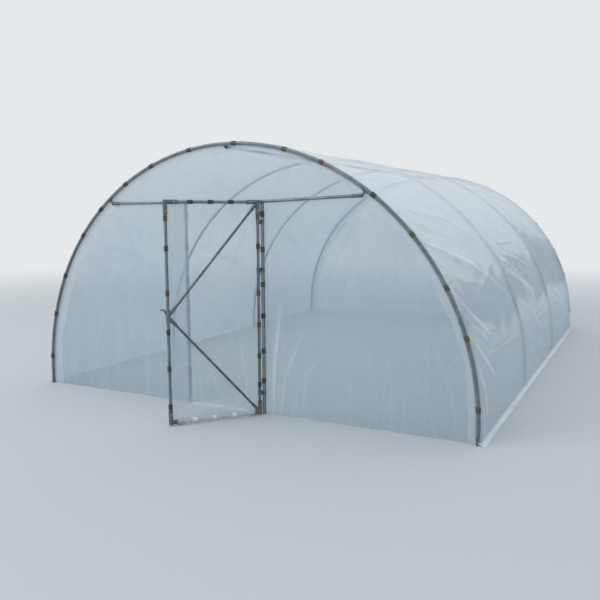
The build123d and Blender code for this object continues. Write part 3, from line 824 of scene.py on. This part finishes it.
shells = []
way = (hinge_axis - hinge_post).normalized()
cross_way = upward.cross(way)
for level in hinge_levels:
    lift = upward * level
    hug = [(hinge_height * share, size) for share, size in hinge_stations]
    wrap = band(band_inner, band_inner + hinge_metal, 230, 28)
    shells.append(straight(hinge_post + lift, upward, way, hug, wrap))
    rims = [(share, (eye_inner + hinge_metal) * size) for share, size in hinge_stations]
    rims += [(share, eye_inner) for share, _ in reversed(hinge_stations)]
    verts = []
    for share, radius in rims:
        base = hinge_axis + lift + upward * hinge_height * share
        verts += [base + way * a + cross_way * b for a, b in ring_section(radius, eye_sides)]
    shells.append((verts, ring_faces(len(rims), eye_sides, closed=True)))
    start = hinge_post + way * (hoop_tube + 0.004) + lift
    finish = hinge_axis - way * (rail_tube + 0.003) + lift
    web = [(start, cross_way, upward, 1.0), (finish, cross_way, upward, 1.0)]
    shells.append(sweep(web, rounded_bar(0.008, hinge_height, 0.001)))
    for side in (-1, 1):
        shells += bolt((start + finish) / 2 + cross_way * side * 0.004, cross_way * side, 0.010, 0.003)
hinge_bands = make_piece("strap_hinges", shells, [strap_zinc], "tunnel", 35)
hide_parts("hinge_straps")

# Door leaf: a frame of 26.9 mm tube with two 21.3 mm braces, hung on the strap hinges and
# standing open by 50 degrees. The tubes are the frame's own solids.
leaf_turn = radians(50.0)
leaf_width = 0.862
leaf_low = 0.030
leaf_high = 2.030
leaf_along = Vector((-cos(leaf_turn), -sin(leaf_turn), 0))
leaf_inward = Vector((-sin(leaf_turn), cos(leaf_turn), 0))
leaf_tubes = ("hinge_stile", "latch_stile", "bottom_rail", "top_rail", "upper_brace", "lower_brace")
brace_meet = 1.00435


def leaf_point(along, up, inward=0.0):
    """A point of the leaf in the tunnel's frame."""
    return hinge_axis + leaf_along * along + upward * up + leaf_inward * inward


leaf_zinc = galvanised("galvanised_leaf_tube", "#666A6C", "#838687", 0.009, 0.50)
for tube in leaf_tubes:
    dress_node(f"door_{tube}", leaf_zinc)

# Leaf fittings: malleable iron castings, galvanised, that the tubes push into and set
# screws hold. One stands at each corner, and a sleeve takes both braces at the latch.
socket_r, sleeve_r = 0.0200, 0.0180
socket_length, sleeve_length = 0.110, 0.125
tube_bore = rail_tube + 0.0006
tube_arm = {"length": socket_length, "radius": socket_r, "depth": 0.024, "bore": tube_bore}
brace_arm = {"length": 0.105, "radius": 0.0150, "depth": 0.0525, "bore": 0.0112}
latch_node = (leaf_width, brace_meet)
leaf_corners = [
    (along, height, far)
    for along in (0.0, leaf_width)
    for height, far in ((leaf_low, leaf_high), (leaf_high, leaf_low))
]


def toward(root, end, distance):
    """A point of the leaf at a distance from one point towards another."""
    run = Vector((end[0] - root[0], end[1] - root[1])).normalized() * distance
    return (root[0] + run.x, root[1] + run.y)


def leaf_arm(root, end, heel, length, radius, depth, bore):
    """A socket from one point of the leaf towards another, and the hole in it."""
    foot, floor, mouth = [leaf_point(*toward(root, end, place)) for place in (-heel, depth, length)]
    return socket_shell(foot, mouth, leaf_inward, radius), bore_shell(floor, mouth, leaf_inward, bore)


castings = []
for along, height, far in leaf_corners:
    corner = (along, height)
    arms = [
        leaf_arm(corner, (along, far), socket_r, **tube_arm),
        leaf_arm(corner, (leaf_width - along, height), socket_r * 0.4, **tube_arm),
    ]
    if along == 0.0:
        arms.append(leaf_arm(corner, latch_node, 0.0, **brace_arm))
    castings.append(cast_shell("corner", *zip(*arms)))
middle = leaf_point(*latch_node)
sleeve_low = leaf_point(leaf_width, brace_meet - sleeve_length / 2)
sleeve_high = leaf_point(leaf_width, brace_meet + sleeve_length / 2)
below = leaf_point(leaf_width, brace_meet - sleeve_length / 2 - 0.01)
bodies = [socket_shell(middle, end, leaf_inward, sleeve_r) for end in (sleeve_high, sleeve_low)]
holes = [bore_shell(below, sleeve_high, leaf_inward, tube_bore)]
for height in (leaf_high, leaf_low):
    body, hole = leaf_arm(latch_node, (0.0, height), 0.0, **brace_arm)
    bodies.append(body)
    holes.append(hole)
castings.append(cast_shell("sleeve", bodies, holes))
fittings = make_piece("cast_leaf_fittings", castings, [casting], "door", 50)
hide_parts("door_fittings")

# Set screws of the fittings: short hexagon screws with the same bright plating, on the
# outer side, where they bear on the tubes.
shells = []
for along, height, far in leaf_corners:
    for end in ((along, far), (leaf_width - along, height)):
        spot = toward((along, height), end, 0.078)
        shells += bolt(leaf_point(*spot, -socket_r + 0.0006), -leaf_inward, 0.010, 0.004)
for height in (brace_meet - 0.044, brace_meet + 0.044):
    shells += bolt(leaf_point(leaf_width, height, -sleeve_r + 0.0006), -leaf_inward, 0.009, 0.004)
set_screws = make_piece("leaf_set_screws", shells, [bolt_zinc], "door", 30)

# Door pull: a flat galvanised bar off the brace sleeve. It is bent edgeways, so it leans
# out and turns level at its tip.
pull_bend = (leaf_width + 0.038, brace_meet + 0.068)
pull_tip = (pull_bend[0] + 0.028, pull_bend[1])
pull_root = toward(latch_node, pull_bend, sleeve_r - 0.001)
slope = Vector((pull_bend[0] - pull_root[0], pull_bend[1] - pull_root[1])).normalized()
level_run = Vector((1, 0))
path = []
for spot, run in (
    (pull_root, slope),
    (toward(pull_bend, pull_root, 0.012), slope),
    (toward(pull_bend, pull_root, 0.003), (slope * 1.4 + level_run).normalized()),
    (toward(pull_bend, pull_tip, 0.004), (slope + level_run * 1.4).normalized()),
    (toward(pull_bend, pull_tip, 0.012), level_run),
    (toward(pull_bend, pull_tip, 0.026), level_run),
    (pull_tip, level_run),
):
    edge = leaf_along * -run.y + upward * run.x
    path.append((leaf_point(*spot), edge, leaf_inward, 0.8 if spot == pull_tip else 1.0))
pull = make_piece("bent_bar_pull", [sweep(path, rounded_bar(0.016, 0.006, 0.0016))], [strap_zinc], "door", 35)
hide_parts("door_pull")

# Collar: a ring on the hinge stile with a clamping screw, which bears on the lowest eye. It
# is steel with a stoved enamel, worn a little patchy.
collar_low = hinge_levels[0] + 0.0203
collar_steps = 36
collar_paint, add, place = new_material("enamelled_collar")
wear = add("TexNoise", {"Vector": place, "Scale": 1 / 0.012, "Detail": 4.0})
shades = {"A": linear("#1E5F6E"), "B": linear("#2C7482")}
skin = add("Mix", {"Factor": wear, **shades}, data_type="RGBA")
enamel = add("BsdfPrincipled", {"Base Color": skin, "Roughness": 0.34, "IOR": 1.5})
add("OutputMaterial", {"Surface": enamel})
outline = [(0.0138, 0.0), (0.0185, 0.0), (0.0190, 0.0008)]
outline += [(r, 0.0150 - z) for r, z in reversed(outline)]
verts = []
for out_x, out_y in ring_section(1.0, collar_steps):
    verts += [hinge_axis + Vector((r * out_x, r * out_y, collar_low + z)) for r, z in outline]
shells = [(verts, ring_faces(collar_steps, len(outline), closed=True))]
shells += bolt(leaf_point(0.0, collar_low + 0.0075, -0.0188), -leaf_inward, 0.008, 0.003)
collar = make_piece("hinge_stile_collar", shells, [collar_paint], "door", 40)
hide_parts("hinge_collar")

# Leaf film: one sheet behind the leaf's tubes, turned round the stiles and rails and held
# by pipe clips. It is bunched round the bottom rail in layers, where it shows white.
leaf_film = film_material("polyethylene_leaf_film", "#A9BBC8", 0.48, 0.86, "#C9D7E0", (1.0, 1.0, 0.3))
leaf_waves = [
    (24, 12, (0.10, 0.00), (0.20, 0.95)),
    (22, 10, (0.55, 0.00), (0.60, 0.70)),
    (26, 12, (0.30, 0.00), (0.52, 0.60)),
    (22, 10, (0.75, 0.00), (0.62, 0.30), (0.35, 0.55)),
    (22, 8, (0.05, 1.98), (0.30, 1.30)),
    (24, 8, (0.82, 1.98), (0.55, 1.20)),
    (22, 5, (0.84, 1.62), (0.50, 1.50), (0.05, 1.60)),
    (22, 5, (0.84, 0.53), (0.45, 0.62), (0.02, 0.58)),
]
along, up = np.meshgrid(np.linspace(0.0, leaf_width, 90), np.linspace(leaf_low, leaf_high, 190))
depth, gathered_and_highlit = creases(along, up, set_creases(leaf_waves))
edge = np.minimum(np.minimum(along, leaf_width - along), np.minimum(up - leaf_low, leaf_high - up))
free = np.clip(edge / 0.07, 0, 1)
depth = np.maximum((depth + 0.004 * np.sin(along * 14) * np.clip(1.4 - up, 0, 1)) * free, 0.0)

# Near the fittings the sheet lies further back, because they are thicker than the tubes.
behind = np.zeros_like(depth)
thick_places = [(*corner[:2], 0.19) for corner in leaf_corners] + [(*latch_node, 0.17)]
for near_along, near_up, reach in thick_places:
    gap = np.hypot(along - near_along, up - near_up)
    behind = np.maximum(behind, np.clip((reach - gap) / 0.06, 0, 1))
plane = rail_tube + 0.0011 + 0.0072 * behind + depth
verts = [leaf_point(*spot) for spot in zip(along.ravel(), up.ravel(), plane.ravel())]
shells = [(verts, grid_faces(*along.shape))]
wraps = [radians(turn) for turn in range(0, 201, 20)]
stile_runs = np.linspace(leaf_low + socket_length + 0.012, leaf_high - socket_length - 0.012, 90)
for stile, way_out in ((0.0, -1), (leaf_width, 1)):

    def round_stile(up, turn):
        lift = rail_tube + 0.0011
        if stile and abs(up - brace_meet) < sleeve_length / 2 + 0.01:
            lift = sleeve_r + 0.0032
        if not stile and min(abs(up - level) for level in hinge_levels) < 0.030:
            lift = rail_tube + 0.0002
        return leaf_point(stile + way_out * lift * sin(turn), up, lift * cos(turn))

    shells.append(wrap_shell(stile_runs, wraps, round_stile))
bunch_wraps = [radians(turn) for turn in range(0, 301, 15)]
for rail, way_out, clear, turns in (
    (leaf_low, -1, socket_length - 0.05, bunch_wraps),
    (leaf_high, 1, socket_length + 0.006, wraps),
):

    def round_rail(along, turn):
        lift = rail_tube + 0.0014
        if rail == leaf_low:
            on_socket = min(along, leaf_width - along) < socket_length + 0.004
            lift += 0.0092 if on_socket else 0.0026
            lift += 0.0016 * sin(along * 61 + turn * 3) + 0.0010 * sin(along * 143 - turn * 5)
        return leaf_point(along, rail + way_out * lift * sin(turn), lift * cos(turn))

    shells.append(wrap_shell(np.linspace(clear, leaf_width - clear, 150), turns, round_rail))
looks = [0, 0, 0, 1, 0]
leaf_sheet = make_piece("leaf_film_sheet", shells, [leaf_film, bunched_film], "door", 180, looks)
mark_film(leaf_sheet, "gathered_and_highlit", gathered_and_highlit * free)
paint_light_above(leaf_sheet, 0.8, 0.6)
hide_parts("door_film")

# Leaf clips: the same pipe offcuts, to the smaller tube. Those of the bottom rail are
# sprung on over the bunched film.
shells = []
for stile, heights in (
    (0.0, (0.300, 0.580, 0.880, 1.180, 1.620, 1.8925)),
    (leaf_width, (0.175, 0.530, 0.866, 1.218, 1.620, 1.885)),
):
    for height in heights:
        shells.append(straight_clip(rail_tube, leaf_point(stile, height), upward, -leaf_inward))
for rail, tube in ((leaf_low, rail_tube + 0.0045), (leaf_high, rail_tube)):
    for along in (0.260, 0.450, 0.640):
        shells.append(straight_clip(tube, leaf_point(along, rail), leaf_along, -leaf_inward))
looks = [0, 3, 0, 1, 3, 1, 3, 0, 3, 1, 0, 2, 5, 5, 5, 3, 3, 3]
leaf_clips = make_piece("leaf_pipe_clips", shells, clip_plastics, "door", 35, looks)
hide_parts("door_clips")

# Stage: a plain pale floor that runs into a backdrop of its own colour, under soft light
# from above and from a wide panel behind, and the camera at the photograph's place.
backdrop = linear("#E6E9EB")
floor_paint, add, place = new_material("matt_floor_paint")
far = add("VectorMath", {0: place}, operation="LENGTH")
blend = add("MapRange", {"Value": far, "From Min": 6.0, "From Max": 20.0}, interpolation_type="SMOOTHSTEP")
matt = add("BsdfPrincipled", {"Base Color": linear("#C3C7C9"), "Roughness": 0.9})
glow = add("Emission", {"Color": backdrop, "Strength": 1.0})
blended = add("MixShader", {"Fac": blend, 1: matt, 2: glow})
add("OutputMaterial", {"Surface": blended})
floor_mesh = bpy.data.meshes.new("floor")
floor_mesh.from_pydata([(-60, -63, 0), (60, -63, 0), (60, 57, 0), (-60, 57, 0)], [], [(0, 1, 2, 3)])
floor_mesh.materials.append(floor_paint)
floor = place_object("floor", floor_mesh)
floor.location = (0, 3.35, -0.001)

world = bpy.data.worlds.new("daylight")
bpy.context.scene.world = world
world.use_nodes = True
world.node_tree.nodes.clear()
add = partial(add_node, world.node_tree)
way_up = add("SeparateXYZ", {"Vector": add("TexCoord").outputs["Generated"]})
by_height = {"Value": way_up.outputs["Z"], "From Min": 0.0, "From Max": 0.4, "To Min": 0.45, "To Max": 0.95}
height = add("MapRange", by_height, interpolation_type="SMOOTHSTEP")
sky = add("Background", {"Color": linear("#E4EBF0"), "Strength": height})
wall = add("Background", {"Color": backdrop})
seen = add("LightPath").outputs["Is Camera Ray"]
add("OutputWorld", {"Surface": add("MixShader", {"Fac": seen, 1: sky, 2: wall})})

for name, place, aim, size, power in (
    ("front_panel", (-7.0, -9.0, 10.5), (0.0, 2.0, 1.0), (15.0, 9.0), 900.0),
    ("rear_panel", (4.0, 26.0, 12.5), (0.0, 3.0, 1.2), (44.0, 17.0), 1450.0),
):
    panel = bpy.data.lights.new(name, "AREA")
    panel.shape = "RECTANGLE"
    panel.size, panel.size_y = size
    panel.energy = power
    lamp = place_object(name, panel)
    lamp.location = place
    lamp.rotation_euler = (Vector(aim) - Vector(place)).to_track_quat("-Z", "Y").to_euler()
    lamp.visible_camera = False

lens = bpy.data.cameras.new("camera")
lens.sensor_width = 36.0
lens.lens = 40.74
lens.clip_end = 200.0
camera = place_object("camera", lens)
turn = Euler((radians(90 - 7.08), 0, radians(27.47))).to_matrix() @ Matrix.Rotation(radians(-0.275), 3, "Z")
camera.matrix_world = Matrix.Translation((3.648, -5.515, 1.903)) @ turn.to_4x4()
bpy.context.scene.camera = camera
bpy.context.scene.view_settings.view_transform = "Standard"
